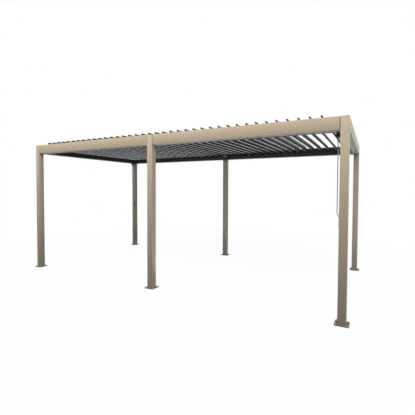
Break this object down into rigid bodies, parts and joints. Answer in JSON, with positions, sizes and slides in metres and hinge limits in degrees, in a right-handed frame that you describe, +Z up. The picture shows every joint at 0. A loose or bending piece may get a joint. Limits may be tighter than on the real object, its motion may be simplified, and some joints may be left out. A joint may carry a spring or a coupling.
{
  "type": "louvered pergola",
  "caption": "Free-standing rectangular pergola on square posts, with turning roof louvers across its beams, tie bars, inner gutters and hanging hand cranks.",
  "frame": {"origin": "on the ground, in the middle of the frame's plan", "axes": "+X along the long side to the right as seen from the front, +Y to the back, +Z up"},
  "size_m": [5.97, 3.02, 2.561],
  "materials": {
    "frame_paint": "taupe powder coat, satin, fine texture",
    "louver_paint": "anthracite powder coat, satin",
    "base_plate": "dark taupe powder coat over steel",
    "tie_bar": "dark powder coat",
    "gearbox": "black moulded housing",
    "crank": "anodised aluminium rod"
  },
  "bodies": {
    "frame": {"post_front_left": "frame_paint", "post_front_middle": "frame_paint", "post_front_right": "frame_paint", "post_back_left": "frame_paint", "post_back_middle": "frame_paint", "post_back_right": "frame_paint", "base_plates": "base_plate", "beam_front_left": "frame_paint", "beam_front_right": "frame_paint", "beam_back_left": "frame_paint", "beam_back_right": "frame_paint", "beam_left": "frame_paint", "beam_right": "frame_paint", "gearbox_left": "gearbox", "gearbox_right": "gearbox"},
    "louver_01": {"louver_01": "louver_paint"},
    "louver_02": {"louver_02": "louver_paint"},
    "louver_03": {"louver_03": "louver_paint"},
    "louver_04": {"louver_04": "louver_paint"},
    "louver_05": {"louver_05": "louver_paint"},
    "louver_06": {"louver_06": "louver_paint"},
    "louver_07": {"louver_07": "louver_paint"},
    "louver_08": {"louver_08": "louver_paint"},
    "louver_09": {"louver_09": "louver_paint"},
    "louver_10": {"louver_10": "louver_paint"},
    "louver_11": {"louver_11": "louver_paint"},
    "louver_12": {"louver_12": "louver_paint"},
    "louver_13": {"louver_13": "louver_paint"},
    "louver_14": {"louver_14": "louver_paint"},
    "louver_15": {"louver_15": "louver_paint"},
    "louver_16": {"louver_16": "louver_paint"},
    "louver_17": {"louver_17": "louver_paint"},
    "louver_18": {"louver_18": "louver_paint"},
    "louver_19": {"louver_19": "louver_paint"},
    "louver_20": {"louver_20": "louver_paint"},
    "louver_21": {"louver_21": "louver_paint"},
    "louver_22": {"louver_22": "louver_paint"},
    "louver_23": {"louver_23": "louver_paint"},
    "louver_24": {"louver_24": "louver_paint"},
    "louver_25": {"louver_25": "louver_paint"},
    "louver_26": {"louver_26": "louver_paint"},
    "louver_27": {"louver_27": "louver_paint"},
    "louver_28": {"louver_28": "louver_paint"},
    "louver_29": {"louver_29": "louver_paint"},
    "louver_30": {"louver_30": "louver_paint"},
    "louver_31": {"louver_31": "louver_paint"},
    "louver_32": {"louver_32": "louver_paint"},
    "louver_33": {"louver_33": "louver_paint"},
    "louver_34": {"louver_34": "louver_paint"},
    "louver_35": {"louver_35": "louver_paint"},
    "louver_36": {"louver_36": "louver_paint"},
    "louver_37": {"louver_37": "louver_paint"},
    "louver_38": {"louver_38": "louver_paint"},
    "tie_bar_left": {"tie_bar_left": "tie_bar"},
    "tie_bar_right": {"tie_bar_right": "tie_bar"},
    "crank_left": {"crank_left": "crank"},
    "crank_right": {"crank_right": "crank"}
  },
  "joints": [
    {"name": "louver_10_turn", "type": "hinge", "parent": "frame", "child": "louver_10", "pos_m": [-1.368, 0, 2.488], "axis": [0, 1, 0], "range_deg": [-52, 38]},
    {"name": "louver_29_turn", "type": "hinge", "parent": "frame", "child": "louver_29", "pos_m": [1.368, 0, 2.488], "axis": [0, 1, 0], "range_deg": [-52, 38]},
    {"name": "louver_01_turn", "type": "hinge", "parent": "frame", "child": "louver_01", "pos_m": [-2.664, 0, 2.488], "axis": [0, 1, 0], "range_deg": [-52, 38]},
    {"name": "louver_02_turn", "type": "hinge", "parent": "frame", "child": "louver_02", "pos_m": [-2.52, 0, 2.488], "axis": [0, 1, 0], "range_deg": [-52, 38]},
    {"name": "louver_03_turn", "type": "hinge", "parent": "frame", "child": "louver_03", "pos_m": [-2.376, 0, 2.488], "axis": [0, 1, 0], "range_deg": [-52, 38]},
    {"name": "louver_04_turn", "type": "hinge", "parent": "frame", "child": "louver_04", "pos_m": [-2.232, 0, 2.488], "axis": [0, 1, 0], "range_deg": [-52, 38]},
    {"name": "louver_05_turn", "type": "hinge", "parent": "frame", "child": "louver_05", "pos_m": [-2.088, 0, 2.488], "axis": [0, 1, 0], "range_deg": [-52, 38]},
    {"name": "louver_06_turn", "type": "hinge", "parent": "frame", "child": "louver_06", "pos_m": [-1.944, 0, 2.488], "axis": [0, 1, 0], "range_deg": [-52, 38]},
    {"name": "louver_07_turn", "type": "hinge", "parent": "frame", "child": "louver_07", "pos_m": [-1.8, 0, 2.488], "axis": [0, 1, 0], "range_deg": [-52, 38]},
    {"name": "louver_08_turn", "type": "hinge", "parent": "frame", "child": "louver_08", "pos_m": [-1.656, 0, 2.488], "axis": [0, 1, 0], "range_deg": [-52, 38]},
    {"name": "louver_09_turn", "type": "hinge", "parent": "frame", "child": "louver_09", "pos_m": [-1.512, 0, 2.488], "axis": [0, 1, 0], "range_deg": [-52, 38]},
    {"name": "louver_11_turn", "type": "hinge", "parent": "frame", "child": "louver_11", "pos_m": [-1.224, 0, 2.488], "axis": [0, 1, 0], "range_deg": [-52, 38]},
    {"name": "louver_12_turn", "type": "hinge", "parent": "frame", "child": "louver_12", "pos_m": [-1.08, 0, 2.488], "axis": [0, 1, 0], "range_deg": [-52, 38]},
    {"name": "louver_13_turn", "type": "hinge", "parent": "frame", "child": "louver_13", "pos_m": [-0.936, 0, 2.488], "axis": [0, 1, 0], "range_deg": [-52, 38]},
    {"name": "louver_14_turn", "type": "hinge", "parent": "frame", "child": "louver_14", "pos_m": [-0.792, 0, 2.488], "axis": [0, 1, 0], "range_deg": [-52, 38]},
    {"name": "louver_15_turn", "type": "hinge", "parent": "frame", "child": "louver_15", "pos_m": [-0.648, 0, 2.488], "axis": [0, 1, 0], "range_deg": [-52, 38]},
    {"name": "louver_16_turn", "type": "hinge", "parent": "frame", "child": "louver_16", "pos_m": [-0.504, 0, 2.488], "axis": [0, 1, 0], "range_deg": [-52, 38]},
    {"name": "louver_17_turn", "type": "hinge", "parent": "frame", "child": "louver_17", "pos_m": [-0.36, 0, 2.488], "axis": [0, 1, 0], "range_deg": [-52, 38]},
    {"name": "louver_18_turn", "type": "hinge", "parent": "frame", "child": "louver_18", "pos_m": [-0.216, 0, 2.488], "axis": [0, 1, 0], "range_deg": [-52, 38]},
    {"name": "louver_19_turn", "type": "hinge", "parent": "frame", "child": "louver_19", "pos_m": [-0.072, 0, 2.488], "axis": [0, 1, 0], "range_deg": [-52, 38]},
    {"name": "louver_20_turn", "type": "hinge", "parent": "frame", "child": "louver_20", "pos_m": [0.072, 0, 2.488], "axis": [0, 1, 0], "range_deg": [-52, 38]},
    {"name": "louver_21_turn", "type": "hinge", "parent": "frame", "child": "louver_21", "pos_m": [0.216, 0, 2.488], "axis": [0, 1, 0], "range_deg": [-52, 38]},
    {"name": "louver_22_turn", "type": "hinge", "parent": "frame", "child": "louver_22", "pos_m": [0.36, 0, 2.488], "axis": [0, 1, 0], "range_deg": [-52, 38]},
    {"name": "louver_23_turn", "type": "hinge", "parent": "frame", "child": "louver_23", "pos_m": [0.504, 0, 2.488], "axis": [0, 1, 0], "range_deg": [-52, 38]},
    {"name": "louver_24_turn", "type": "hinge", "parent": "frame", "child": "louver_24", "pos_m": [0.648, 0, 2.488], "axis": [0, 1, 0], "range_deg": [-52, 38]},
    {"name": "louver_25_turn", "type": "hinge", "parent": "frame", "child": "louver_25", "pos_m": [0.792, 0, 2.488], "axis": [0, 1, 0], "range_deg": [-52, 38]},
    {"name": "louver_26_turn", "type": "hinge", "parent": "frame", "child": "louver_26", "pos_m": [0.936, 0, 2.488], "axis": [0, 1, 0], "range_deg": [-52, 38]},
    {"name": "louver_27_turn", "type": "hinge", "parent": "frame", "child": "louver_27", "pos_m": [1.08, 0, 2.488], "axis": [0, 1, 0], "range_deg": [-52, 38]},
    {"name": "louver_28_turn", "type": "hinge", "parent": "frame", "child": "louver_28", "pos_m": [1.224, 0, 2.488], "axis": [0, 1, 0], "range_deg": [-52, 38]},
    {"name": "louver_30_turn", "type": "hinge", "parent": "frame", "child": "louver_30", "pos_m": [1.512, 0, 2.488], "axis": [0, 1, 0], "range_deg": [-52, 38]},
    {"name": "louver_31_turn", "type": "hinge", "parent": "frame", "child": "louver_31", "pos_m": [1.656, 0, 2.488], "axis": [0, 1, 0], "range_deg": [-52, 38]},
    {"name": "louver_32_turn", "type": "hinge", "parent": "frame", "child": "louver_32", "pos_m": [1.8, 0, 2.488], "axis": [0, 1, 0], "range_deg": [-52, 38]},
    {"name": "louver_33_turn", "type": "hinge", "parent": "frame", "child": "louver_33", "pos_m": [1.944, 0, 2.488], "axis": [0, 1, 0], "range_deg": [-52, 38]},
    {"name": "louver_34_turn", "type": "hinge", "parent": "frame", "child": "louver_34", "pos_m": [2.088, 0, 2.488], "axis": [0, 1, 0], "range_deg": [-52, 38]},
    {"name": "louver_35_turn", "type": "hinge", "parent": "frame", "child": "louver_35", "pos_m": [2.232, 0, 2.488], "axis": [0, 1, 0], "range_deg": [-52, 38]},
    {"name": "louver_36_turn", "type": "hinge", "parent": "frame", "child": "louver_36", "pos_m": [2.376, 0, 2.488], "axis": [0, 1, 0], "range_deg": [-52, 38]},
    {"name": "louver_37_turn", "type": "hinge", "parent": "frame", "child": "louver_37", "pos_m": [2.52, 0, 2.488], "axis": [0, 1, 0], "range_deg": [-52, 38]},
    {"name": "louver_38_turn", "type": "hinge", "parent": "frame", "child": "louver_38", "pos_m": [2.664, 0, 2.488], "axis": [0, 1, 0], "range_deg": [-52, 38]},
    {"name": "tie_bar_left_swing", "type": "hinge", "parent": "louver_10", "child": "tie_bar_left", "pos_m": [-1.3649, 1.367, 2.51327], "axis": [0, 1, 0], "range_deg": [-38, 52]},
    {"name": "tie_bar_right_swing", "type": "hinge", "parent": "louver_29", "child": "tie_bar_right", "pos_m": [1.3711, -1.367, 2.51327], "axis": [0, 1, 0], "range_deg": [-38, 52]},
    {"name": "crank_left_turn", "type": "hinge", "parent": "frame", "child": "crank_left", "pos_m": [-2.805, 1.225, 2.28], "axis": [0, 0, 1], "range_deg": [-1040, 760]},
    {"name": "crank_right_turn", "type": "hinge", "parent": "frame", "child": "crank_right", "pos_m": [2.805, -1.225, 2.28], "axis": [0, 0, 1], "range_deg": [-1040, 760]}
  ],
  "couplings": [
    {"joint": "louver_01_turn", "follows": "louver_10_turn", "ratio": 1},
    {"joint": "louver_02_turn", "follows": "louver_10_turn", "ratio": 1},
    {"joint": "louver_03_turn", "follows": "louver_10_turn", "ratio": 1},
    {"joint": "louver_04_turn", "follows": "louver_10_turn", "ratio": 1},
    {"joint": "louver_05_turn", "follows": "louver_10_turn", "ratio": 1},
    {"joint": "louver_06_turn", "follows": "louver_10_turn", "ratio": 1},
    {"joint": "louver_07_turn", "follows": "louver_10_turn", "ratio": 1},
    {"joint": "louver_08_turn", "follows": "louver_10_turn", "ratio": 1},
    {"joint": "louver_09_turn", "follows": "louver_10_turn", "ratio": 1},
    {"joint": "louver_11_turn", "follows": "louver_10_turn", "ratio": 1},
    {"joint": "louver_12_turn", "follows": "louver_10_turn", "ratio": 1},
    {"joint": "louver_13_turn", "follows": "louver_10_turn", "ratio": 1},
    {"joint": "louver_14_turn", "follows": "louver_10_turn", "ratio": 1},
    {"joint": "louver_15_turn", "follows": "louver_10_turn", "ratio": 1},
    {"joint": "louver_16_turn", "follows": "louver_10_turn", "ratio": 1},
    {"joint": "louver_17_turn", "follows": "louver_10_turn", "ratio": 1},
    {"joint": "louver_18_turn", "follows": "louver_10_turn", "ratio": 1},
    {"joint": "louver_19_turn", "follows": "louver_10_turn", "ratio": 1},
    {"joint": "louver_20_turn", "follows": "louver_29_turn", "ratio": 1},
    {"joint": "louver_21_turn", "follows": "louver_29_turn", "ratio": 1},
    {"joint": "louver_22_turn", "follows": "louver_29_turn", "ratio": 1},
    {"joint": "louver_23_turn", "follows": "louver_29_turn", "ratio": 1},
    {"joint": "louver_24_turn", "follows": "louver_29_turn", "ratio": 1},
    {"joint": "louver_25_turn", "follows": "louver_29_turn", "ratio": 1},
    {"joint": "louver_26_turn", "follows": "louver_29_turn", "ratio": 1},
    {"joint": "louver_27_turn", "follows": "louver_29_turn", "ratio": 1},
    {"joint": "louver_28_turn", "follows": "louver_29_turn", "ratio": 1},
    {"joint": "louver_30_turn", "follows": "louver_29_turn", "ratio": 1},
    {"joint": "louver_31_turn", "follows": "louver_29_turn", "ratio": 1},
    {"joint": "louver_32_turn", "follows": "louver_29_turn", "ratio": 1},
    {"joint": "louver_33_turn", "follows": "louver_29_turn", "ratio": 1},
    {"joint": "louver_34_turn", "follows": "louver_29_turn", "ratio": 1},
    {"joint": "louver_35_turn", "follows": "louver_29_turn", "ratio": 1},
    {"joint": "louver_36_turn", "follows": "louver_29_turn", "ratio": 1},
    {"joint": "louver_37_turn", "follows": "louver_29_turn", "ratio": 1},
    {"joint": "louver_38_turn", "follows": "louver_29_turn", "ratio": 1},
    {"joint": "tie_bar_left_swing", "follows": "louver_10_turn", "ratio": -1},
    {"joint": "tie_bar_right_swing", "follows": "louver_29_turn", "ratio": -1},
    {"joint": "crank_left_turn", "follows": "louver_10_turn", "ratio": 20},
    {"joint": "crank_right_turn", "follows": "louver_29_turn", "ratio": 20}
  ]
}
